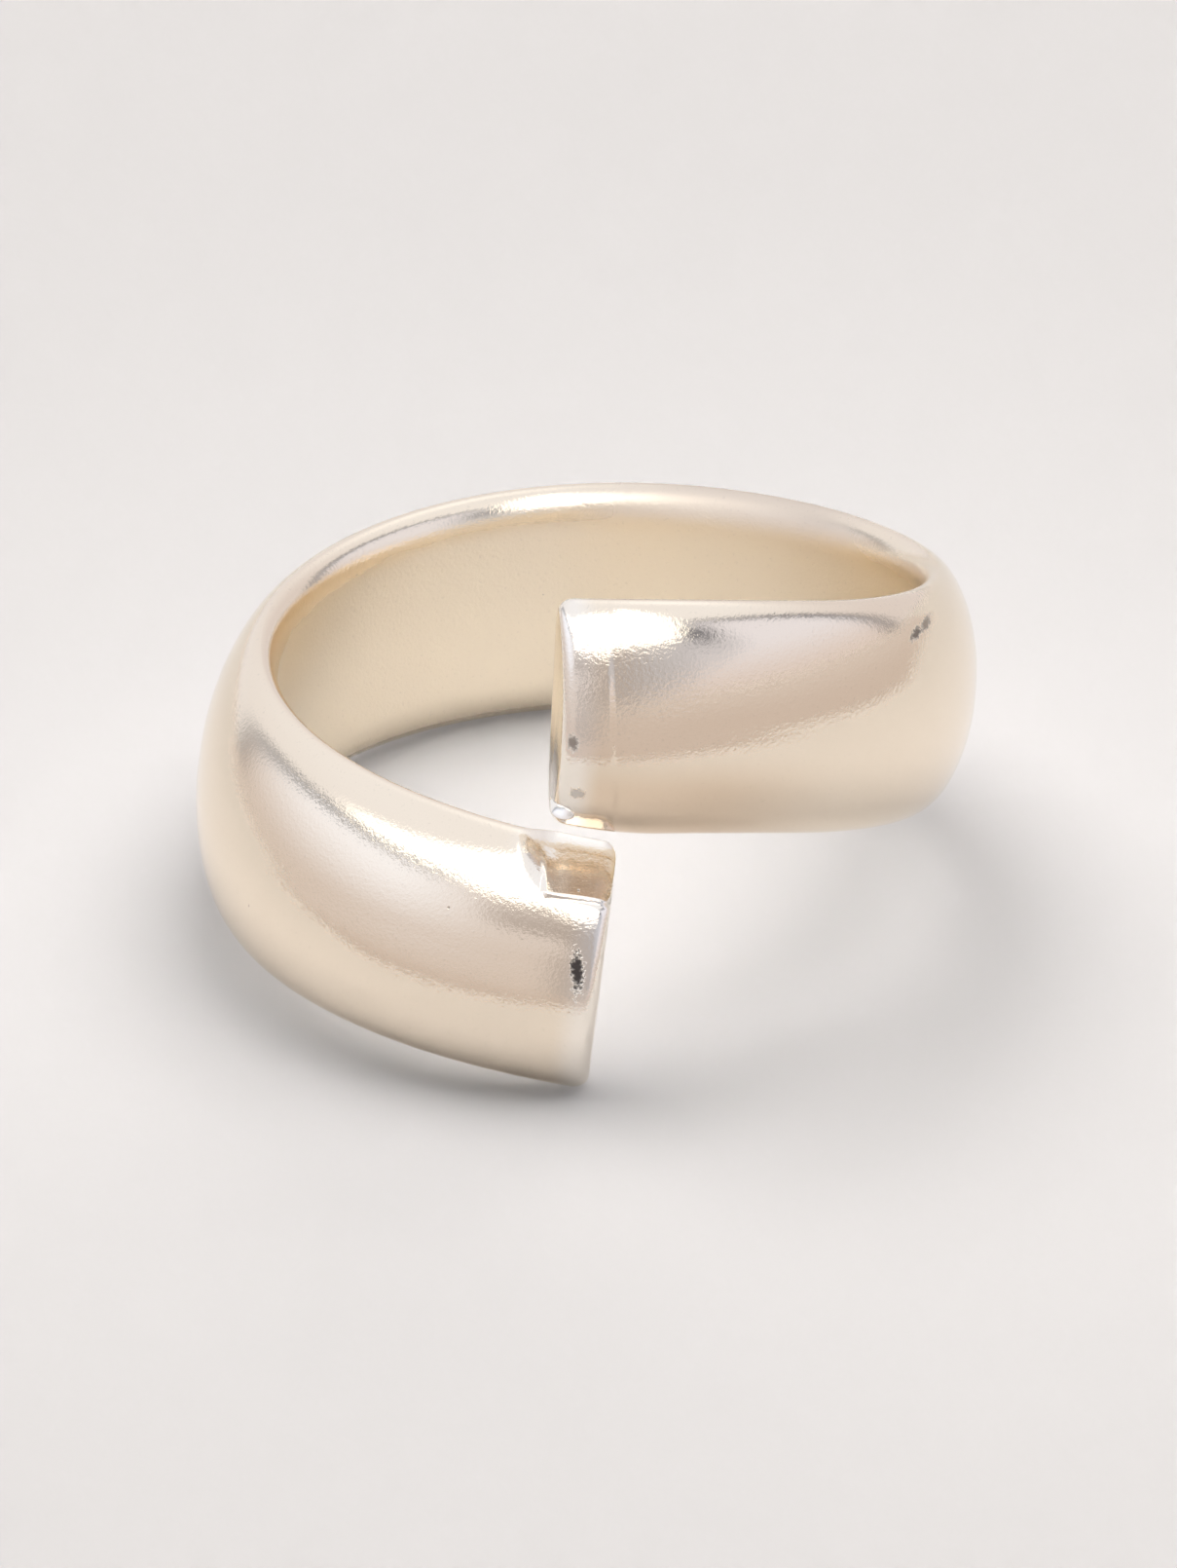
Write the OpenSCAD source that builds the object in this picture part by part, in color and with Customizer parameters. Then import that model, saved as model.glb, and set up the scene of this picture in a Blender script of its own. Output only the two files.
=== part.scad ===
/* [Band] */
// width of the band from rim to rim, mm
band_width = 6.7; // [5.5:0.1:7]
// thickness at the crown of the domed face, mm
crown_thickness = 1.8; // [1.4:0.1:2.4]
// thickness left at the two rims, mm
rim_thickness = 0.6; // [0.4:0.05:0.8]
// fullness of the domed face: 2 is an ellipse, less is steeper at the crown
dome_fullness = 1.7; // [1.5:0.05:2.4]
// how far across the inner wall its worn rims are rounded, mm
inner_rim_round = 1.2; // [0.2:0.1:1.6]

/* [Wrap] */
// inside diameter of the ring, mm
inner_diameter = 17.3; // [15:0.1:21]
// rise of the band over one whole turn, mm
turn_rise = 7.7; // [7.5:0.1:9]
// how much the rise is saved up for the two ends, mm
end_rise = 0.2; // [0:0.05:1]
// unevenness of the rise between the two halves, mm
half_rise = 0.1; // [0:0.05:0.4]
// how much the front and back stand above the two sides, mm
side_drop = 0.16; // [0:0.02:0.2]
// how far the high end dips below that rise, mm
high_end_dip = 0.8; // [0:0.05:0.8]
// outward lean of the band's lower rim at the low end, degrees
low_end_lean = 8; // [0:0.5:12]
// outward lean of the band's lower rim at the high end, degrees
high_end_lean = -2; // [-8:0.5:5]
// how much the lean swings twice in a turn, degrees
lean_swing = 2.5; // [0:0.5:4]

/* [Ends] */
// how far the low end runs past the front, degrees
low_end_overlap = 5.4; // [2:0.1:8]
// how far the high end runs past the front, degrees
high_end_overlap = 6.6; // [2:0.1:8]
// slant of the low end's cut across the width, degrees
low_end_slant = -4; // [-12:0.5:5]
// slant of the low end's cut through the thickness, degrees
low_end_bevel = 5.5; // [-12:0.5:12]
// slant of the high end's cut across the width, degrees
high_end_slant = 0.5; // [-12:0.5:5]
// slant of the high end's cut through the thickness, degrees
high_end_bevel = -15.5; // [-16:0.5:12]
// how much of the lower rim is worn away at the high end, mm
high_end_trim = 0.4; // [0:0.05:0.6]
// how far up the width the low end's worn facet starts, mm
facet_start = 1.9; // [1.5:0.1:2.4]
// slope of the low end's worn facet, degrees
facet_slope = 43.5; // [30:0.5:46]
// how far the low end's facet reaches along the band, degrees
facet_reach = 9; // [6:0.5:16]
// rounding of the ends' corners across the width, mm
end_corner_round = 0.4; // [0.1:0.05:0.6]
// rounding of the ends' edges along the band and through its thickness, mm
end_edge_round = 0.25; // [0.1:0.05:0.3]

/* [Hidden] */
inner_radius = inner_diameter / 2;
turn_start = -low_end_overlap;
turn_end = 360 + high_end_overlap;
cut_fade_turn = 30;
dip_turn = 45;
facet_fade_turn = 7;
facet_rim_left = 0.1;
trim_turn = 20;
end_edge_turn = end_edge_round / inner_radius * 180 / PI;

turn_steps = 110;
end_steps = 4;
dome_steps = 16;
rim_steps = 3;
wall_steps = 6;

// bottom rim angles on which the ring lies beside the low end, degrees
lie_near = 172;
lie_far = 184;

// section of the band: x runs up its width, y outward from the inner wall
dome = [
    for (i = [0 : dome_steps])
        let (a = 180 * i / dome_steps, c = cos(a), s = sin(a))
        [
            band_width / 2 * sign(c) * pow(abs(c), 2 / dome_fullness),
            rim_thickness + (crown_thickness - rim_thickness) * pow(abs(s), 2 / dome_fullness)
        ]
];
low_rim = [
    for (i = [1 : rim_steps])
        let (a = 90 * i / rim_steps)
        [
            -band_width / 2 + inner_rim_round * (1 - cos(a)),
            rim_thickness * (1 - sin(a))
        ]
];
inner_wall = [
    for (i = [1 : wall_steps - 1])
        [(band_width / 2 - inner_rim_round) * (2 * i / wall_steps - 1), 0]
];
high_rim = [for (i = [rim_steps : -1 : 1]) [-low_rim[i - 1].x, low_rim[i - 1].y]];
section = concat(dome, low_rim, inner_wall, high_rim);
section_count = len(section);

// stations along the band: angle, and how much its ends' rounding takes off the section
end_stations = [
    for (i = [0 : end_steps - 1])
        let (a = 90 * i / end_steps)
        [end_edge_turn * (1 - cos(a)), 1 - sin(a)]
];
body_start = turn_start + end_edge_turn;
body_end = turn_end - end_edge_turn;
stations = concat(
    [for (e = end_stations) [turn_start + e[0], e[1]]],
    [for (i = [0 : turn_steps]) [body_start + (body_end - body_start) * i / turn_steps, 0]],
    [for (i = [end_steps - 1 : -1 : 0]) [turn_end - end_stations[i][0], end_stations[i][1]]]
);

function taken_in(p, amount) = [
    p.x * (1 - 2 * end_corner_round * amount / band_width),
    crown_thickness / 2 + (p.y - crown_thickness / 2) * (1 - 2 * end_edge_round * amount / crown_thickness)
];

function dome_height(x) =
    rim_thickness + (crown_thickness - rim_thickness)
        * pow(1 - pow(abs(x) * 2 / band_width, dome_fullness), 1 / dome_fullness);

function facet_height(x) =
    max(facet_rim_left, dome_height(facet_start) - (x - facet_start) * tan(facet_slope));

// the upper shoulder, worn flat next to the low end
function faceted(turn, p) =
    let (
        t = max(0, min(1, (turn - turn_start - facet_reach) / facet_fade_turn)),
        amount = 1 - t * t * (3 - 2 * t),
        rim_share = min(1, facet_height(band_width / 2) / rim_thickness),
        lower = p.y > rim_thickness ? min(p.y, facet_height(p.x)) : p.y * rim_share
    )
    p.x <= facet_start ? p : [p.x, p.y + (lower - p.y) * amount];

// 1 at an end, easing to 0 over the turn in which the slant of its cut fades out
function fade(turn) =
    let (t = max(0, min(1, turn / cut_fade_turn)))
    1 - t * t * (3 - 2 * t);

function cut_shift(turn, p) =
    (fade(turn - turn_start) * (p.x * tan(low_end_slant) + p.y * tan(low_end_bevel))
        + fade(turn_end - turn) * (p.x * tan(high_end_slant) + p.y * tan(high_end_bevel)))
    / inner_radius * 180 / PI;

// 1 at the high end, easing to 0 over the turn given
function near_high_end(turn, over) = pow(max(0, 1 - (turn_end - turn) / over), 2);

// the section's height with the lower rim worn away towards the high end
function worn(turn, x) =
    x + high_end_trim * (1 / 2 - x / band_width) * near_high_end(turn, trim_turn);

// a point of the section carried round the wrap: the front is 0 degrees, the ring's left side 90
function wrapped(turn, p) =
    let (
        x = worn(turn, p.x),
        a = turn + cut_shift(turn, [x, p.y]),
        half = (a - 180) / 180,
        height = turn_rise * half / 2 + end_rise * sin(a) - half_rise * sin(2 * a)
            + side_drop * cos(2 * a) - high_end_dip * near_high_end(turn, dip_turn),
        lean = (low_end_lean + high_end_lean) / 2 + (high_end_lean - low_end_lean) / 2 * half
            + lean_swing * sin(2 * a),
        reach = inner_radius - x * sin(lean) + p.y * cos(lean)
    )
    [-reach * sin(a), -reach * cos(a), height + x * cos(lean) + p.y * sin(lean)];

function unit(v) = v / norm(v);

// the ring lies on its low end and on the bottom rim at the back
rim_corner = [-band_width / 2, rim_thickness];
rest_low = wrapped(turn_start, rim_corner);
rest_near = wrapped(lie_near, rim_corner);
rest_far = wrapped(lie_far, rim_corner);
floor_up = unit(cross(rest_far - rest_low, rest_near - rest_low));
side_axis = unit(cross([0, 1, 0], floor_up));
front_axis = cross(floor_up, side_axis);

function laid(p) = [p * side_axis, p * front_axis, p * floor_up];

laid_points = [
    for (s = stations)
        for (p = section)
            laid(wrapped(s[0], taken_in(faceted(s[0], p), s[1])))
];
xs = [for (p = laid_points) p.x];
ys = [for (p = laid_points) p.y];
zs = [for (p = laid_points) p.z];
centre_shift = [(min(xs) + max(xs)) / 2, (min(ys) + max(ys)) / 2, min(zs)];
band_points = [for (p = laid_points) p - centre_shift];

station_count = len(stations);
side_faces = [
    for (s = [0 : station_count - 2])
        for (i = [0 : section_count - 1])
            let (
                j = (i + 1) % section_count,
                near = s * section_count,
                far = near + section_count
            )
            each [[near + i, near + j, far + j], [near + i, far + j, far + i]]
];
low_cap = [for (i = [section_count - 1 : -1 : 0]) i];
high_cap = [for (i = [0 : section_count - 1]) (station_count - 1) * section_count + i];

module band() {
    color([0.86, 0.83, 0.79])
        polyhedron(points = band_points, faces = concat(side_faces, [low_cap, high_cap]), convexity = 6);
}

band();
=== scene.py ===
from math import cos, degrees, pi, radians, sin, sqrt, tan

import bpy
from mathutils import Matrix, Vector


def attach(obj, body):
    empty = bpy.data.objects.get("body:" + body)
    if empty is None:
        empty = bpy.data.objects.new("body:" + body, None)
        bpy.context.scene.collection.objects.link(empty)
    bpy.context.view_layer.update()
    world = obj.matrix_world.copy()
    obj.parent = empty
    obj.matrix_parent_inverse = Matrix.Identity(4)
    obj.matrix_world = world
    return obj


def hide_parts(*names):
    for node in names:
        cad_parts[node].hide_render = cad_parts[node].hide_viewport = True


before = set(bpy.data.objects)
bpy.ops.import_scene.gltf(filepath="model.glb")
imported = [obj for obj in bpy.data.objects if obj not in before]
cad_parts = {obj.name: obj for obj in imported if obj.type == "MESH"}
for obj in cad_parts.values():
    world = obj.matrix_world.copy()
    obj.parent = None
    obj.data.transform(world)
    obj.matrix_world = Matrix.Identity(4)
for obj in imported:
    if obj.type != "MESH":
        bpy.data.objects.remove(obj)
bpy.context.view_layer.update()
scene = bpy.context.scene
mm = 0.001


# A shader socket for plain sums: wire * 2 + other adds the Math nodes
class Wire:
    def __init__(self, tree, socket=None):
        self.tree = tree
        self.socket = socket

    def node(self, kind, settings=None, values=None, output=0):
        made = self.tree.nodes.new("ShaderNode" + kind)
        for name, value in (settings or {}).items():
            setattr(made, name, value)
        for name, value in (values or {}).items():
            if isinstance(value, Wire):
                self.tree.links.new(value.socket, made.inputs[name])
            else:
                made.inputs[name].default_value = value
        return Wire(self.tree, made.outputs[output] if len(made.outputs) else None)

    # another output of the same node
    def also(self, output):
        return Wire(self.tree, self.socket.node.outputs[output])

    def math(self, operation, first, second=0.0):
        return self.node("Math", {"operation": operation}, {0: first, 1: second})

    def __add__(self, other):
        return self.math("ADD", self, other)

    __radd__ = __add__

    def __sub__(self, other):
        return self.math("SUBTRACT", self, other)

    def __rsub__(self, other):
        return self.math("SUBTRACT", other, self)

    def __mul__(self, other):
        return self.math("MULTIPLY", self, other)

    __rmul__ = __mul__

    def __truediv__(self, other):
        return self.math("DIVIDE", self, other)

    def __rtruediv__(self, other):
        return self.math("DIVIDE", other, self)

    def __pow__(self, other):
        return self.math("POWER", self, other)

    def __rpow__(self, other):
        return self.math("POWER", other, self)

    def __abs__(self):
        return self.math("ABSOLUTE", self)

    # 0 at low, 1 at high, eased between
    def step(self, low, high):
        return self.node(
            "MapRange",
            {"interpolation_type": "SMOOTHSTEP"},
            {"Value": self, "From Min": low, "From Max": high},
        )

    # 1 between two edges, each eased from its first value to its second
    def between(self, rise, fall):
        return self.step(*rise) * (1 - self.step(*fall))

    # a bell of height 1 around a middle value
    def bell(self, middle, width):
        away = (self - middle) / width
        return self.math("EXPONENT", away * away * -1)

    # a colour between two, by this value
    def blend(self, first, second):
        rgba = lambda colour: colour if isinstance(colour, Wire) else (*colour, 1)
        ends = {0: self, 6: rgba(first), 7: rgba(second)}
        return self.node("Mix", {"data_type": "RGBA"}, ends, 2)


def newTree(owner):
    owner.use_nodes = True
    owner.node_tree.nodes.clear()
    return Wire(owner.node_tree)


cameraSettings = {  # matched to the outline of the ring
    "place": (12.45, -362.03, 227.83),  # mm
    "right": (0.9994, 0.0143, -0.0322),
    "up": (0.0198, 0.5278, 0.8492),
    "lens": 480.5,  # mm, on a sensor 36 mm wide
    "sensor": 36,
    "clip": (0.01, 10),  # m
}


def makeCamera():
    data = bpy.data.cameras.new("camera")
    data.sensor_fit = "HORIZONTAL"
    data.sensor_width = cameraSettings["sensor"]
    data.lens = cameraSettings["lens"]
    data.clip_start, data.clip_end = cameraSettings["clip"]
    camera = bpy.data.objects.new("camera", data)
    right = Vector(cameraSettings["right"]).normalized()
    back = right.cross(Vector(cameraSettings["up"])).normalized()
    up = back.cross(right)
    turn = Matrix((right, up, back)).transposed().to_4x4()
    camera.matrix_world = Matrix.Translation(Vector(cameraSettings["place"]) * mm) @ turn
    scene.collection.objects.link(camera)
    scene.camera = camera
    print("camera in place")


# The metal mirrors a tent of cloth with an open front. Directions are in degrees: az 0 is the
# camera's side and az 90 the right, el 0 is level. A pair is an edge, over which something eases
# in or out, unless its note says otherwise
lightSettings = {
    "tentLeft": (0.90, 0.90, 0.95),
    "tentRight": (0.79, 0.75, 0.78),
    "tentSides": (-0.6, 0.6),  # sideways part of the direction
    "tentHigh": (0.97, 0.99, 1.06),
    "tentRise": (10, 60),
    "roofBack": (1.7, 1.75, 1.85),  # a brighter place in the roof, behind the ring
    "roofBackAz": (155, 30),  # middle and width
    "roofBackEl": (60, 16),
    "roofBackShare": 0.3,
    "panel": (1.9, 1.9, 1.9),  # the bright front half of the roof
    "panelBack": (-0.08, 0.24),  # forward part of the direction
    "panelLeft": (-112, -84),
    "panelRight": (33, 42),
    "panelTop": (69.5, 0.33, 3),  # el at az 0, el for each degree of az, and half its edge
    "leftLow": (0.72, 0.655, 0.64),  # the open front
    "leftHigh": (1.06, 1.12, 1.28),
    "leftRise": (-2, 32),
    "leftFade": (-60, -15, 0.7),  # from az, to az, and the share of the blue that goes
    "rightLow": (0.76, 0.67, 0.65),
    "rightHigh": (0.89, 0.91, 1.05),
    "rightRise": (-8, 22),
    "frontMiddle": (0, 36),
    "openingLeft": 126,
    "openingRight": 113,
    "openingMiddle": (-6, 6),
    "openingTop": 38,
    "topSteps": ((-40, -15, -4), (-3, 7, -5), (28, 46, 19)),  # from az, to az, degrees higher
    "topBulge": (-82, 22, 1.8),  # middle, width, degrees higher
    "openingPower": 2.5,
    "openingEdge": 0.06,
    "seamColour": (0.12, 0.13, 0.16),  # the dark seam round the opening
    "seamWidth": 0.115,
    "seamLeast": 0.25,
    "seamMost": 0.97,
    "seamDarker": (  # middle az, width, how much more
        (-108, 22, 0.34),
        (-58, 30, 0.55),
        (-82, 12, 0.2),
        (60, 20, 0.4),
        (95, 25, 0.55),
        (32, 8, 0.4),
    ),
    "seamPale": ((-44, -24), (10, 24)),
    "seamPaleShare": 0.5,
    "spotAz": (40, 7),  # a dark spot beside it: middle and width
    "spotEl": (33, 9),
    "spotShare": 0.92,
    "duskLeft": (0.49, 0.45, 0.45),  # the darker middle of the opening
    "duskRight": (0.50, 0.515, 0.59),
    "duskMiddle": (4, 22),
    "duskSides": ((-32, -16), (48, 60)),
    "duskThins": ((8, 24, 0.25), (27, 36, 0.45)),  # from az, to az, share that goes
    "duskThinsHigh": (23, 29, 0.4),  # the same by el
    "duskFoot": 19,  # el of its lower edge
    "duskFootEdge": (-3, 4),
    "footLeft": 0.15,  # how the foot rises for each degree to the left
    "footRight": (2, 0.45),  # and to the right, from this az
    "footDrop": (1, 5, 25),  # from az, to az, degrees lower
    "stemAz": (0, 5.5),
    "stemEl": ((-12, -6), (6, 16)),
    "stemShare": 0.85,
    "backdrop": (0.83, 0.80, 0.775),
    "castBoost": 4.8,  # more of the roof light that the metal throws on the floor
    "castRise": (15, 45),
    "castTint": (0.90, 1.0, 1.2),
    "lamps": {  # they light only the floor: az, el, width in degrees, strength
        "overRight": (124, 62, 44, 5.0),
        "overLeft": (-138, 62, 44, 5.1),
        "lowFront": (20, 8, 60, 1.2),
        "lowBack": (165, 10, 60, 4.3),
    },
}


# the open front: how far out a direction lies, 1 at its edge
def openingReach(tree, az, el):
    s = lightSettings
    width = s["openingLeft"] + az.step(*s["openingMiddle"]) * (s["openingRight"] - s["openingLeft"])
    top = s["openingTop"]
    for low, high, more in s["topSteps"]:
        top = top + more * az.step(low, high)
    middle, spread, more = s["topBulge"]
    top = top + more * az.bell(middle, spread)
    upwards = tree.math("MAXIMUM", el, 0)
    return (abs(az) / width) ** s["openingPower"] + (upwards / top) ** s["openingPower"]


# the dark seam round the opening, and the spot beside it
def seamShare(tree, az, el, reach):
    s = lightSettings
    dark = s["seamLeast"]
    for middle, spread, more in s["seamDarker"]:
        dark = dark + more * az.bell(middle, spread)
    seam = reach.bell(1, s["seamWidth"]) * tree.math("MINIMUM", dark, s["seamMost"])
    seam = seam * (1 - s["seamPaleShare"] * az.between(*s["seamPale"]))
    spot = az.bell(*s["spotAz"]) * el.bell(*s["spotEl"]) * s["spotShare"]
    return tree.math("MAXIMUM", seam, spot)


# dusk in the middle of the opening, narrowing downwards to a stem
def duskShare(tree, az, el):
    s = lightSettings
    leftwards = tree.math("MAXIMUM", az * -1, 0)
    start, rise = s["footRight"]
    rightwards = tree.math("MAXIMUM", az - start, 0)
    low, high, drop = s["footDrop"]
    foot = s["duskFoot"] + leftwards * s["footLeft"] - drop * az.step(low, high) + rightwards * rise
    dusk = (el - foot).step(*s["duskFootEdge"]) * az.between(*s["duskSides"])
    for low, high, share in s["duskThins"]:
        dusk = dusk * (1 - share * az.step(low, high))
    low, high, share = s["duskThinsHigh"]
    dusk = dusk * (1 - share * el.step(low, high))
    stem = az.bell(*s["stemAz"]) * el.between(*s["stemEl"]) * s["stemShare"]
    return tree.math("MAXIMUM", dusk, stem)


def makeWorld():
    s = lightSettings
    world = bpy.data.worlds.new("studio")
    world.cycles.sampling_method = "NONE"
    scene.world = world
    tree = newTree(world)
    direction = tree.node("TexCoord", output=0)
    x = tree.node("SeparateXYZ", None, {0: direction})
    y, z = x.also(1), x.also(2)
    az = tree.math("ARCTAN2", x, y * -1) * (180 / pi)
    el = tree.math("ARCSINE", z) * (180 / pi)

    reach = openingReach(tree, az, el)
    outside = reach.step(1 - s["openingEdge"], 1 + s["openingEdge"])
    seam = seamShare(tree, az, el, reach)
    dusk = duskShare(tree, az, el)

    low, high, share = s["leftFade"]
    blueness = el.step(*s["leftRise"]) * (1 - share * az.step(low, high))
    left = blueness.blend(s["leftLow"], s["leftHigh"])
    right = el.step(*s["rightRise"]).blend(s["rightLow"], s["rightHigh"])
    front = az.step(*s["frontMiddle"]).blend(left, right)
    opening = dusk.blend(front, az.step(*s["duskMiddle"]).blend(s["duskLeft"], s["duskRight"]))

    sides = x.step(*s["tentSides"]).blend(s["tentLeft"], s["tentRight"])
    tent = el.step(*s["tentRise"]).blend(sides, s["tentHigh"])
    middle, spread = s["roofBackAz"]
    behind = az.bell(middle, spread) + az.bell(middle - 360, spread)
    tent = (behind * el.bell(*s["roofBackEl"]) * s["roofBackShare"]).blend(tent, s["roofBack"])
    top, lean, edge = s["panelTop"]
    panel = (y * -1).step(*s["panelBack"]) * (1 - az.step(*s["panelRight"]))
    panel = panel * az.step(*s["panelLeft"]) * (1 - (el - top - az * lean).step(-edge, edge))
    tent = panel.blend(tent, s["panel"])
    light = seam.blend(outside.blend(opening, tent), s["seamColour"])

    path = tree.node("LightPath", output=0)
    bounced = path.also("Diffuse Depth")
    thrown = s["castBoost"] * bounced * el.step(*s["castRise"])
    multiply = {"data_type": "RGBA", "blend_type": "MULTIPLY"}
    tinted = tree.node("Mix", multiply, {0: bounced, 6: light, 7: (*s["castTint"], 1)}, 2)
    lit = tree.node("Background", None, {"Color": tinted, "Strength": 1 + thrown})
    plain = tree.node("Background", None, {"Color": (*s["backdrop"], 1), "Strength": 1.0})
    none = tree.node("Background", None, {"Color": (0, 0, 0, 1), "Strength": 0.0})
    forFloor = tree.node("MixShader", None, {0: path.also(2), 1: lit, 2: none})
    both = tree.node("MixShader", None, {0: path, 1: forFloor, 2: plain})
    tree.node("OutputWorld", None, {"Surface": both})

    for name, (aim, rise, spread, strength) in s["lamps"].items():
        lamp = bpy.data.lights.new(name, "SUN")
        lamp.angle = radians(spread)
        lamp.energy = strength
        piece = bpy.data.objects.new(name, lamp)
        a, e = radians(aim), radians(rise)
        towards = Vector((sin(a) * cos(e), -cos(a) * cos(e), sin(e)))
        piece.rotation_euler = towards.to_track_quat("Z", "Y").to_euler()
        piece.visible_glossy = False
        scene.collection.objects.link(piece)
    print("studio light ready")


floorSettings = {
    "colour": (0.2500, 0.2390, 0.2335),
    "middle": (0.2730, 0.2615, 0.2560),  # a little lighter round the ring: a painted pool of light
    "paintedPoolEdge": (6, 44),  # mm
    "size": 900,
    "spread": 2.4,  # mm that light spreads inside it, so shadows are soft where the ring touches
}


# a flat piece of the stage
def stagePiece(name, points, faces, material):
    mesh = bpy.data.meshes.new(name)
    mesh.from_pydata(points, [], faces)
    mesh.materials.append(material)
    piece = bpy.data.objects.new(name, mesh)
    scene.collection.objects.link(piece)
    return piece


# a pair of mm in metres
def scaled(pair):
    return [value * mm for value in pair]


def makeFloor():
    s = floorSettings
    material = bpy.data.materials.new("pale floor")
    tree = newTree(material)
    place = tree.node("NewGeometry", output=0)
    away = tree.node("VectorMath", {"operation": "LENGTH"}, {0: place}, 1)
    # painted pool of light: the floor's colour eases lighter towards the ring
    tone = away.step(*scaled(s["paintedPoolEdge"])).blend(s["middle"], s["colour"])
    look = {
        "Base Color": tone,
        "Roughness": 1.0,
        "Specular IOR Level": 0.0,
        "Subsurface Weight": 1.0,
        "Subsurface Radius": (1, 1, 1),
        "Subsurface Scale": s["spread"] * mm,
    }
    shader = tree.node("BsdfPrincipled", {"subsurface_method": "BURLEY"}, look)
    tree.node("OutputMaterial", None, {"Surface": shader})
    half = s["size"] / 2 * mm
    corners = [(-half, -half, 0), (half, -half, 0), (half, half, 0), (-half, half, 0)]
    stagePiece("floor", corners, [(0, 1, 2, 3)], material)
    print("floor laid")


surroundSettings = {  # a glowing sheet in front and at the sides, which only shows in the metal: a painted reflection of a darker floor
    "near": (0.66, 0.58, 0.55),
    "far": (0.72, 0.655, 0.64),
    "farEdge": (30, 120),  # mm
    "stripe": (0.49, 0.45, 0.45),  # a dusky stripe straight ahead in that painted reflection
    "stripeAim": (-1, 6),  # degrees: middle and width
    "stripeFrom": 9,  # mm behind the ring's middle
    "stripeEdge": (42, 60),
    "stripeShare": 0.9,
    "poolRadius": 34,  # mm, of the bright floor round the ring
    "poolMiddle": 4.5,
    "poolLeft": 48,  # degrees from the front where the pool starts to widen
    "poolRight": 88,
    "poolWiden": 0.8,  # mm for each degree
    "turn": 124,  # degrees to each side
    "turnStep": 4,
    "reach": 300,  # mm
    "lift": 0.01,
}


def makeSurround():
    s = surroundSettings
    material = bpy.data.materials.new("surround")
    tree = newTree(material)
    place = tree.node("NewGeometry", output=0)
    away = tree.node("VectorMath", {"operation": "LENGTH"}, {0: place}, 1)
    tone = away.step(*scaled(s["farEdge"])).blend(s["near"], s["far"])
    x = tree.node("SeparateXYZ", None, {0: place})
    aim = tree.math("ARCTAN2", x, (x.also(1) + s["stripeFrom"] * mm) * -1) * (180 / pi)
    stripe = aim.bell(*s["stripeAim"]) * away.step(*scaled(s["stripeEdge"])) * s["stripeShare"]
    # the sheet glows with these colours and no lamp lights it: a painted reflection of a darker
    # floor, seen only by the metal
    look = {
        "Base Color": (0, 0, 0, 1),
        "Specular IOR Level": 0.0,
        "Emission Color": stripe.blend(tone, s["stripe"]),
        "Emission Strength": 1.0,
    }
    tree.node("OutputMaterial", None, {"Surface": tree.node("BsdfPrincipled", None, look)})
    points = []
    for degree in range(-s["turn"], s["turn"] + 1, s["turnStep"]):
        a = radians(degree)
        widen = max(0, -degree - s["poolLeft"]) + max(0, degree - s["poolRight"])
        for radius in (s["poolRadius"] + s["poolWiden"] * widen, s["reach"]):
            y = s["poolMiddle"] - radius * cos(a)
            points.append((radius * sin(a) * mm, y * mm, s["lift"] * mm))
    faces = [(i, i + 1, i + 3, i + 2) for i in range(0, len(points) - 2, 2)]
    surround = stagePiece("surround", points, faces, material)
    surround.visible_camera = surround.visible_diffuse = surround.visible_shadow = False
    surround.visible_transmission = surround.visible_volume_scatter = False
    print("surround laid")


bandSettings = {  # the part's own values, mm and degrees, and how finely the skin is drawn
    "width": 6.7,
    "crown": 1.8,
    "rim": 0.6,
    "fullness": 1.7,
    "crownEase": 0.12,
    "innerRimRound": 1.2,
    "innerRadius": 8.65,
    "turnRise": 7.7,
    "endRise": 0.2,
    "halfRise": 0.1,
    "sideDrop": 0.16,
    "highDip": 0.8,
    "dipTurn": 45,
    "lowLean": 8,
    "highLean": -2,
    "leanSwing": 2.5,
    "lowOverlap": 5.4,
    "highOverlap": 6.6,
    "lowSlant": -4,
    "lowBevel": 5.5,
    "highSlant": 0.5,
    "highBevel": -15.5,
    "highTrim": 0.4,
    "trimTurn": 20,
    "cutFadeTurn": 30,
    "cornerRound": 0.4,
    "cornerLength": 0.4,
    "edgeRound": 0.25,
    "lieNear": 172,
    "lieFar": 184,
    "facetStart": 1.9,  # mm up the width, where the low end's worn upper facet starts
    "facetSlope": 43.5,
    "facetRound": (0.3, 0.08),  # mm, of its outer edge: across and deep
    "facetSoft": 0.03,
    "facetTurn": (7.4, 14),  # degrees from the end over which it dies away
    "facetSlant": 1.9,  # degrees more for each mm up
    "turnSteps": 400,
    "facetSteps": 44,  # finer, over the first part of the turn
    "facetReach": 14,
    "endSteps": 12,
    "domeSteps": 96,
    "rimSteps": 12,
    "wallSteps": 16,
    "wallHigh": (0.2, 1.8),  # how far past the upper rim the wall's finish ends, and over how much
    "wallLow": 0.5,  # over how much it ends at the lower rim
    "cutSkin": (2, 0.3),  # place of a cut end on the skin: at mid width, and more for each mm up
}


def clamp(value, low=0.0, high=1.0):
    return max(low, min(high, value))


def eased(t):
    return t * t * (3 - 2 * t)


# thickness of the domed section at a place across the width
def domeHeight(x):
    s = bandSettings
    across = abs(x) * 2 / s["width"]
    return s["rim"] + (s["crown"] - s["rim"]) * (1 - across ** s["fullness"]) ** (1 / s["fullness"])


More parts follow.
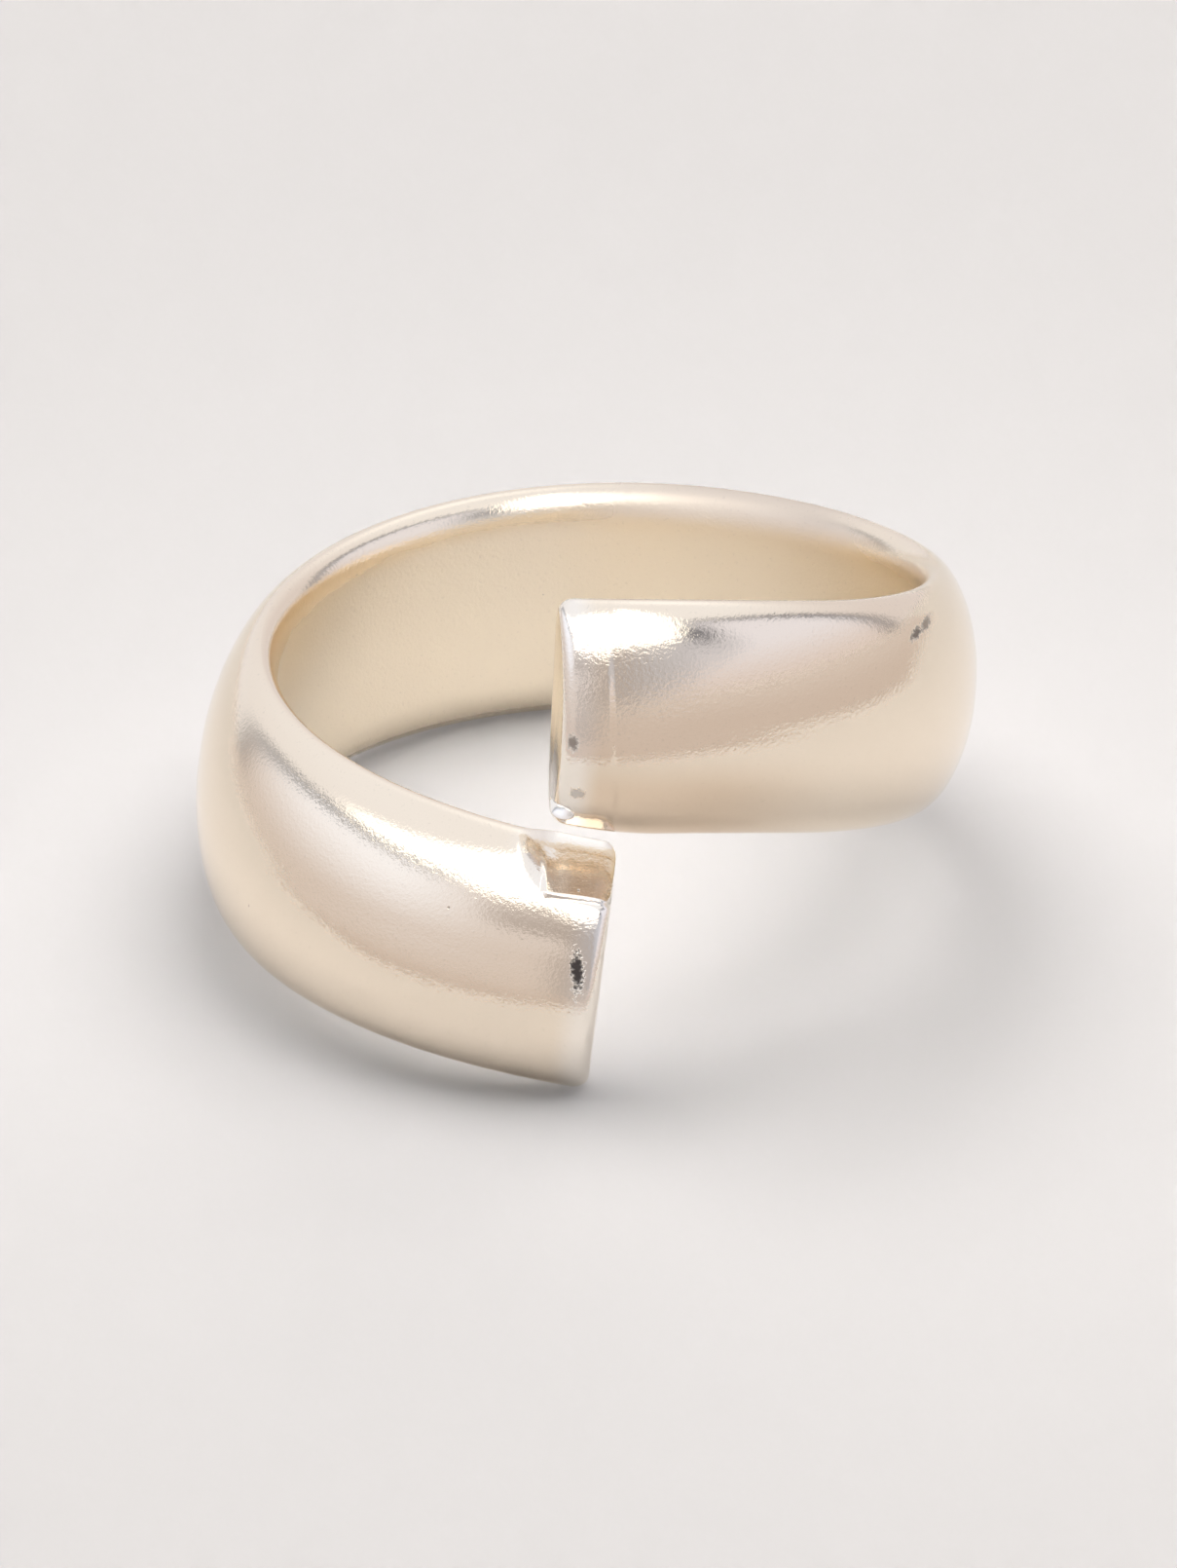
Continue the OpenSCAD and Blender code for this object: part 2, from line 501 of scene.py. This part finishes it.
# section of the band: x runs up its width, y outward from the inner wall
def bandSection():
    s = bandSettings
    half, ease = s["width"] / 2, s["crownEase"]
    dome = []
    for i in range(s["domeSteps"] + 1):
        c = cos(pi * i / s["domeSteps"])
        x = (1 if c > 0 else -1) * abs(c) ** (2 / s["fullness"])
        u = (sqrt(x * x + ease * ease) - ease) / (sqrt(1 + ease * ease) - ease)
        y = max(0.0, 1 - u ** s["fullness"]) ** (1 / s["fullness"])
        dome.append((half * x, s["rim"] + (s["crown"] - s["rim"]) * y))
    lowRim = []
    for i in range(1, s["rimSteps"] + 1):
        a = pi / 2 * i / s["rimSteps"]
        lowRim.append((-half + s["innerRimRound"] * (1 - cos(a)), s["rim"] * (1 - sin(a))))
    flat, steps = half - s["innerRimRound"], s["wallSteps"]
    wall = [(flat * (2 * i / steps - 1), 0.0) for i in range(1, steps)]
    return dome + lowRim + wall + [(-x, y) for x, y in reversed(lowRim)]


# 1 at an end, easing to 0 over the turn in which the slant of its cut fades out
def fade(turn):
    return 1 - eased(clamp(turn / bandSettings["cutFadeTurn"]))


# at the low end the upper shoulder is worn to a flat facet
def faceted(turn, x, y):
    s = bandSettings
    first, last = s["facetTurn"]
    begin, half = s["facetStart"], s["width"] / 2
    away = turn + s["lowOverlap"] - first - s["facetSlant"] * (x - begin)
    amount = 1 - eased(clamp(away / (last - first)))
    if amount == 0 or x < 0:
        return x, y
    slope = tan(radians(s["facetSlope"]))
    start = domeHeight(begin)
    wide, deep = s["facetRound"]
    edge = start - (half - begin) * slope - deep
    if y <= s["rim"]:
        lower = y * edge / s["rim"]
    else:
        q = clamp((x - half + wide) / wide)
        gap = y - (start - (x - begin) * slope - deep * (1 - sqrt(1 - q * q)))
        # a soft ridge where the facet starts
        lower = max(y - (gap + sqrt(gap * gap + s["facetSoft"] ** 2)) / 2, edge)
    return x, y + (lower - y) * amount


# a point of the section carried round the wrap: the front is 0 degrees, the ring's left side 90
def wrapped(turn, x, y):
    s = bandSettings
    start, end = -s["lowOverlap"], 360 + s["highOverlap"]
    nearHigh = lambda over: clamp(1 - (end - turn) / over) ** 2
    x += s["highTrim"] * (0.5 - x / s["width"]) * nearHigh(s["trimTurn"])
    cut = lambda slant, bevel: x * tan(radians(s[slant])) + y * tan(radians(s[bevel]))
    shift = fade(turn - start) * cut("lowSlant", "lowBevel")
    shift += fade(end - turn) * cut("highSlant", "highBevel")
    a = radians(turn) + shift / s["innerRadius"]
    part = (degrees(a) - 180) / 180
    height = s["turnRise"] * part / 2 + s["endRise"] * sin(a) - s["halfRise"] * sin(2 * a)
    height += s["sideDrop"] * cos(2 * a) - s["highDip"] * nearHigh(s["dipTurn"])
    lean = (s["lowLean"] + s["highLean"]) / 2 + (s["highLean"] - s["lowLean"]) / 2 * part
    lean = radians(lean + s["leanSwing"] * sin(2 * a))
    reach = s["innerRadius"] - x * sin(lean) + y * cos(lean)
    return Vector((-reach * sin(a), -reach * cos(a), height + x * cos(lean) + y * sin(lean)))


# how much a rounding of this radius has taken off, from 1 at the end to 0
def rounded(away, radius):
    left = 1 - clamp(away / radius)
    return 1 - sqrt(1 - left * left)


# stations along the band: turn, and how far each is from the nearer end, in mm
def bandStations():
    s = bandSettings
    start, end = -s["lowOverlap"], 360 + s["highOverlap"]
    awayTurn = degrees(s["cornerLength"] / s["innerRadius"])
    ends = []
    for i in range(s["endSteps"]):
        share = 1 - cos(pi / 2 * i / s["endSteps"])
        ends.append((awayTurn * share, s["cornerLength"] * share))
    first, last = start + awayTurn, end - awayTurn
    middle = first + s["facetReach"]
    turns = [first + (middle - first) * i / s["facetSteps"] for i in range(s["facetSteps"])]
    turns += [middle + (last - middle) * i / s["turnSteps"] for i in range(s["turnSteps"] + 1)]
    body = [(turn, s["cornerLength"]) for turn in turns]
    return [(start + t, d) for t, d in ends] + body + [(end - t, d) for t, d in reversed(ends)]


# a point of the section drawn in by the rounding of an end
def takenIn(x, y, away):
    s = bandSettings
    middle = s["crown"] / 2
    x *= 1 - 2 * s["cornerRound"] * rounded(away, s["cornerLength"]) / s["width"]
    share = 1 - 2 * s["edgeRound"] * rounded(away, s["edgeRound"]) / s["crown"]
    return x, middle + (y - middle) * share


# the ring lies on its low end and on the bottom rim at the back
def layingTurn():
    s = bandSettings
    touching = (-s["lowOverlap"], s["lieNear"], s["lieFar"])
    low, near, far = (wrapped(turn, -s["width"] / 2, s["rim"]) for turn in touching)
    up = (far - low).cross(near - low).normalized()
    side = Vector((0, 1, 0)).cross(up).normalized()
    return Matrix((side, up.cross(side), up))


# the points of the skin in metres, row by row, with the ring's box centred over the floor's middle
def bandPoints(section, stations):
    laying = layingTurn()
    points = []
    for turn, away in stations:
        for x, y in section:
            points.append(laying @ wrapped(turn, *takenIn(*faceted(turn, x, y), away)))
    low = [min(p[i] for p in points) for i in range(3)]
    high = [max(p[i] for p in points) for i in range(3)]
    shift = Vector(((low[0] + high[0]) / 2, (low[1] + high[1]) / 2, low[2]))
    return [(p - shift) * mm for p in points]


# places on the skin for the wear: mm along the band, mm round its section, and 1 on the inner wall
def markSkin(mesh, section, stations):
    s = bandSettings
    count = len(section)
    layer = mesh.attributes.new("skin", "FLOAT_VECTOR", "CORNER")
    along = [radians(turn) * (s["innerRadius"] + s["crown"]) for turn, _ in stations]
    girth = [0.0]
    for i in range(1, count + 1):
        girth.append(girth[-1] + (Vector(section[i % count]) - Vector(section[i - 1])).length)
    half = s["width"] / 2
    past, over = s["wallHigh"]
    wall = []
    for x, y in section:
        share = clamp((half + past - x) / over) * clamp((x + half) / s["wallLow"])
        wall.append(eased(share) if y <= s["rim"] else 0.0)
    middle, slope = s["cutSkin"]
    for polygon in mesh.polygons:
        isCut = len(polygon.vertices) > 4
        closing = not isCut and any(v % count == count - 1 for v in polygon.vertices)
        for k in polygon.loop_indices:
            r, i = divmod(mesh.loops[k].vertex_index, count)
            if isCut:
                layer.data[k].vector = (along[r], middle + section[i][0] * slope, 0)
            else:
                around = girth[count if closing and i == 0 else i]
                layer.data[k].vector = (along[r], around, wall[i])


def makeBand():
    section, stations = bandSection(), bandStations()
    points = bandPoints(section, stations)
    count = len(section)
    faces = []
    for r in range(len(stations) - 1):
        for i in range(count):
            j = (i + 1) % count
            faces.append((r * count + i, (r + 1) * count + i, (r + 1) * count + j, r * count + j))
    faces.append(tuple(range(count)))
    faces.append(tuple((len(stations) - 1) * count + i for i in range(count - 1, -1, -1)))
    mesh = bpy.data.meshes.new("ring.band")
    mesh.from_pydata(points, [], faces)
    markSkin(mesh, section, stations)
    for polygon in mesh.polygons:
        polygon.use_smooth = True
    mesh.update()
    band = bpy.data.objects.new("ring.band", mesh)
    scene.collection.objects.link(band)
    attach(band, "root")
    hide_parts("band")
    print("band drawn:", len(points), "points")
    return band


metalSettings = {  # sizes in mm; an edge is a pair of values over which something eases in
    "colour": (0.912, 0.805, 0.665),
    # the inner wall's colour is brighter and warmer than the outside: painted light for the metal's
    # own reflections inside the ring
    "innerPaintedLightColour": (0.95, 0.84, 0.665),
    "roughness": 0.10,
    "innerRoughness": 0.38,
    "grain": (0.10, 2, 0.6),  # size, detail and roughness of each noise
    "cloud": (1.3, 2, 0.6),
    "wave": (2.6, 0, 0.5),
    "grainHeight": 0.005,
    "cloudHeight": 0.0025,
    "waveHeight": 0.008,
    "cloudRoughness": 0.08,
    "hairs": ((1.6, 0.02, 3.1), (0.8, 0.014, 7.7)),  # cell, width and seed
    "satinHairs": (0.45, 0.016, 1.9),
    "satinHairPower": 2.2,
    "hairMost": 2.0,
    "hairHeight": 0.0012,
    "hairRoughness": 0.06,
    "pitCells": 0.9,  # for each mm
    "pitEdge": (0.015, 0.045),
    "pitsKept": (0.6, 0.75),
    "pitDark": 0.6,
    "pitDepth": 0.006,
    "marks": (  # dark gouges: centre, half sizes, how dark, how deep
        ((-0.11, -10.44, 3.74), (0.20, 0.6, 0.66), 1.0, 0.05),
        ((-0.03, -9.12, 10.05), (0.17, 0.5, 0.26), 0.65, 0.02),
        ((0.05, -9.09, 8.50), (0.24, 0.5, 0.22), 0.4, 0.015),
        ((9.02, -3.86, 10.02), (0.32, 0.45, 0.16), 0.8, 0.03),
        ((9.28, -3.25, 9.95), (0.3, 0.5, 0.14), 0.6, 0.02),
    ),
    "markBroken": (1.6, 0.8),  # by the grain and by the cloud
    "markEdge": (0.45, 1.05),
    "markRoughness": 0.2,
    "nick": ((-0.47, -8.80, 7.74), (0.42, 0.7, 0.34)),  # at the high end's lower corner
    "nickEdge": (0.85, 1.0),
    "nickTilt": 1.3,
    # painted glint: the nick's whiter colour; its upward tilt is real shape
    "nickGlintColour": (0.98, 0.94, 0.87),
    "dishMiddle": 0.05,  # the worn facet is slightly hollow: x of its middle
    "dishHalf": 1.0,  # half its width
    "dishBack": -8.2,  # y where it starts, and how far it comes forward
    "dishDepth": 1.25,
    "dishFoot": 5.15,  # lowest z
    "dishSoft": 0.1,
    "dishShape": (0.04, 0.03),  # slope at its back, and how fast it steepens
    "dishRipple": (0.22, 6.76, 0.006),  # start, radians for each mm, height
    "satin": ((1.6, -8.8, 11.2), (2.4, 2.0, 1.3)),  # a duller patch by the high end
    "satinBroken": 0.6,
    "satinEdge": (0.6, 1.15),
    "satinRoughness": 0.03,
    "dullShadedRim": ((4.9, 8.8, 6.8), (5.6, 4.0, 1.3)),  # and one on the rim at the back, darkened too: painted shade that tones down the highlight there
    "dullBroken": 0.4,
    "dullEdge": (0.35, 1.2),
    "dullRoughness": 0.35,
    "paintedRimShade": (0.74, 0.64, 0.545),
    "paintedRimShadeShare": 0.8,
    "paintedLowShade": (0.77, 0.625, 0.475),  # painted shade: darker and warmer on the lower shoulder, mostly towards the high end, for the shadowed floor and metal that it mirrors
    "paintedLowShadeRound": (4.0, 5.6),
    "paintedLowShadeAlong": (57.5, 62.5),
    "paintedLowShadeShares": (0.08, 0.9),  # everywhere, and more towards the high end
    "rubbedAndHighlight": (0.94, 0.875, 0.785),  # whiter where the ends and the facet are rubbed, with a painted highlight along the end edges
    "endPlaces": (-0.99, 66.86),  # of the cuts, along the band
    "endEdge": (0.4, 1.2),
    "facetRound": (1.5, 2.2),
    "facetAlong": (1.2, 2.4),
    "tarnish": (0.10, 0.09, 0.085),
    "hairTarnish": 0.03,
    "grainTarnish": 0.08,
    "grainEdge": (0.6, 0.78),
}

hairSettings = {  # as shares of a hair's cell and width
    "seedTurn": (1, 2.3, 0.7),
    "core": 0.3,
    "taper": (0.2, 0.5),
    "kept": (0.35, 0.7),
}


# short straight hairlines, one to a cell, each at its own angle
def hairlines(tree, place, size, width, seed):
    s = hairSettings
    offset = tuple(seed * share for share in s["seedTurn"])
    shifted = tree.node("VectorMath", {"operation": "ADD"}, {0: place, 1: offset})
    cells = {"voronoi_dimensions": "2D", "feature": "F1"}
    cell = tree.node("TexVoronoi", cells, {"Vector": shifted, "Scale": 1 / size})
    chance = tree.node("SeparateXYZ", None, {0: cell.also(1)})
    centre = tree.node("VectorMath", {"operation": "SCALE"}, {0: cell.also(2), "Scale": size})
    local = tree.node("VectorMath", {"operation": "SUBTRACT"}, {0: shifted, 1: centre})
    u = tree.node("SeparateXYZ", None, {0: local})
    v = u.also(1)
    angle = chance * (2 * pi)
    across = abs(u * tree.math("SINE", angle) + v * tree.math("COSINE", angle))
    along = abs(u * tree.math("COSINE", angle) - v * tree.math("SINE", angle))
    low, high = s["taper"]
    hair = (1 - across.step(width * s["core"], width)) * (1 - along.step(size * low, size * high))
    return hair * chance.also(1).step(*s["kept"])


# how far a place is from a centre, in shares of the half sizes
def distanceFrom(tree, place, centre, sizes):
    off = tree.node("VectorMath", {"operation": "SUBTRACT"}, {0: place, 1: centre})
    shares = tree.node("VectorMath", {"operation": "DIVIDE"}, {0: off, 1: sizes})
    return tree.node("VectorMath", {"operation": "LENGTH"}, {0: shares}, 1)


# height of the worn facet's hollow, which rises towards the front in a slow ripple
def dishHeight(tree, place):
    s = metalSettings
    x = tree.node("SeparateXYZ", None, {0: place})
    soft, half = s["dishSoft"], s["dishHalf"]
    forward = tree.math("MAXIMUM", s["dishBack"] - x.also(1), 0)
    inside = 1 - abs(x - s["dishMiddle"]).step(half - soft, half + soft)
    inside = inside * x.also(2).step(s["dishFoot"] - soft, s["dishFoot"] + soft)
    inside = inside * (1 - forward.step(s["dishDepth"] - soft, s["dishDepth"] + soft))
    slope, curve = s["dishShape"]
    start, speed, height = s["dishRipple"]
    ripple = tree.math("SINE", (forward - start) * speed) * height
    return inside * (forward * slope + forward * forward * curve + ripple)


def makeMetal(band):
    s = metalSettings
    material = bpy.data.materials.new("polished silver")
    tree = newTree(material)
    # mm along, mm round, 1 on the inner wall
    skin = tree.node("Attribute", {"attribute_name": "skin"}, output=1)
    along = tree.node("SeparateXYZ", None, {0: skin})
    around, inner = along.also(1), along.also(2)
    outer = 1 - inner
    metres = tree.node("TexCoord", output=3)
    place = tree.node("VectorMath", {"operation": "SCALE"}, {0: metres, "Scale": 1 / mm})
    noise = lambda size, detail, rough: tree.node(
        "TexNoise", None, {"Vector": place, "Scale": 1 / size, "Detail": detail, "Roughness": rough}
    )
    grain, cloud, wave = noise(*s["grain"]), noise(*s["cloud"]), noise(*s["wave"])
    satin = distanceFrom(tree, place, *s["satin"]) + (cloud - 0.5) * s["satinBroken"]
    satin = 1 - satin.step(*s["satinEdge"])
    dullShaded = distanceFrom(tree, place, *s["dullShadedRim"]) + (cloud - 0.5) * s["dullBroken"]
    dullShaded = (1 - dullShaded.step(*s["dullEdge"])) * outer

    first, second = s["hairs"]
    hairs = hairlines(tree, skin, *first) + hairlines(tree, skin, *second)
    hairs = hairs + hairlines(tree, skin, *s["satinHairs"]) * satin * s["satinHairPower"]
    hairs = tree.math("MINIMUM", hairs, s["hairMost"])
    cells = {"voronoi_dimensions": "3D", "feature": "F1"}
    pit = tree.node("TexVoronoi", cells, {"Vector": place, "Scale": s["pitCells"]})
    which = tree.node("SeparateXYZ", None, {0: pit.also(1)})
    pits = (1 - pit.step(*s["pitEdge"])) * which.step(*s["pitsKept"])

    dark, deep = pits * s["pitDark"], pits * s["pitDepth"]
    byGrain, byCloud = s["markBroken"]
    for centre, sizes, strength, depth in s["marks"]:
        ragged = distanceFrom(tree, place, centre, sizes)
        ragged = ragged + (grain - 0.5) * byGrain + (cloud - 0.5) * byCloud
        mark = 1 - ragged.step(*s["markEdge"])
        dark = tree.math("MAXIMUM", dark, mark * strength)
        deep = deep + mark * depth

    # the nick tilts the surface upwards
    nick = 1 - distanceFrom(tree, place, *s["nick"]).step(*s["nickEdge"])
    level = tree.node("SeparateXYZ", None, {0: place}, 2)
    deep = deep + nick * (level - s["nick"][0][2]) * s["nickTilt"] - dishHeight(tree, place)

    height = grain * (s["grainHeight"] * (1 + inner + satin))
    height = height + wave * s["waveHeight"] + cloud * s["cloudHeight"]
    height = height - hairs * s["hairHeight"] - deep
    bump = tree.node("Bump", None, {"Height": height, "Distance": mm, "Strength": 1.0})

    rough = s["roughness"] + inner * (s["innerRoughness"] - s["roughness"])
    rough = rough + (cloud - 0.5) * s["cloudRoughness"]
    rough = rough + hairs * s["hairRoughness"] + dark * s["markRoughness"]
    rough = rough + satin * s["satinRoughness"] + dullShaded * s["dullRoughness"]

    least, more = s["paintedLowShadeShares"]
    # painted shade on the lower shoulder, stronger towards the raised high end
    paintedLowShade = around.step(*s["paintedLowShadeRound"]) * outer * (least + more * along.step(*s["paintedLowShadeAlong"]))
    first, last = s["endPlaces"]
    near, far = s["endEdge"]
    # whiter at the ends and on the worn facet: rubbed wear and a painted highlight
    rubbedAndHighlight = 1 - along.step(first + near, first + far) + along.step(last - far, last - near)
    facet = (1 - around.step(*s["facetRound"])) * (1 - along.step(*s["facetAlong"]))
    rubbedAndHighlight = tree.math("MAXIMUM", rubbedAndHighlight, facet)
    tarnish = dark + hairs * s["hairTarnish"] + grain.step(*s["grainEdge"]) * s["grainTarnish"]
    # painted light: the inner wall takes a brighter, warmer colour
    colour = inner.blend(paintedLowShade.blend(s["colour"], s["paintedLowShade"]), s["innerPaintedLightColour"])
    # painted shade: the back rim's duller patch also takes a darker colour
    colour = (dullShaded * s["paintedRimShadeShare"]).blend(colour, s["paintedRimShade"])
    colour = rubbedAndHighlight.blend(colour, s["rubbedAndHighlight"])
    # the nick's whiter colour is a painted glint
    colour = nick.blend(tarnish.blend(colour, s["tarnish"]), s["nickGlintColour"])
    look = {"Base Color": colour, "Metallic": 1.0, "Roughness": rough, "Normal": bump}
    tree.node("OutputMaterial", None, {"Surface": tree.node("BsdfPrincipled", None, look)})
    band.data.materials.append(material)
    print("metal mixed")


scene.view_settings.view_transform = "Standard"
makeCamera()
makeWorld()
makeFloor()
makeSurround()
makeMetal(makeBand())
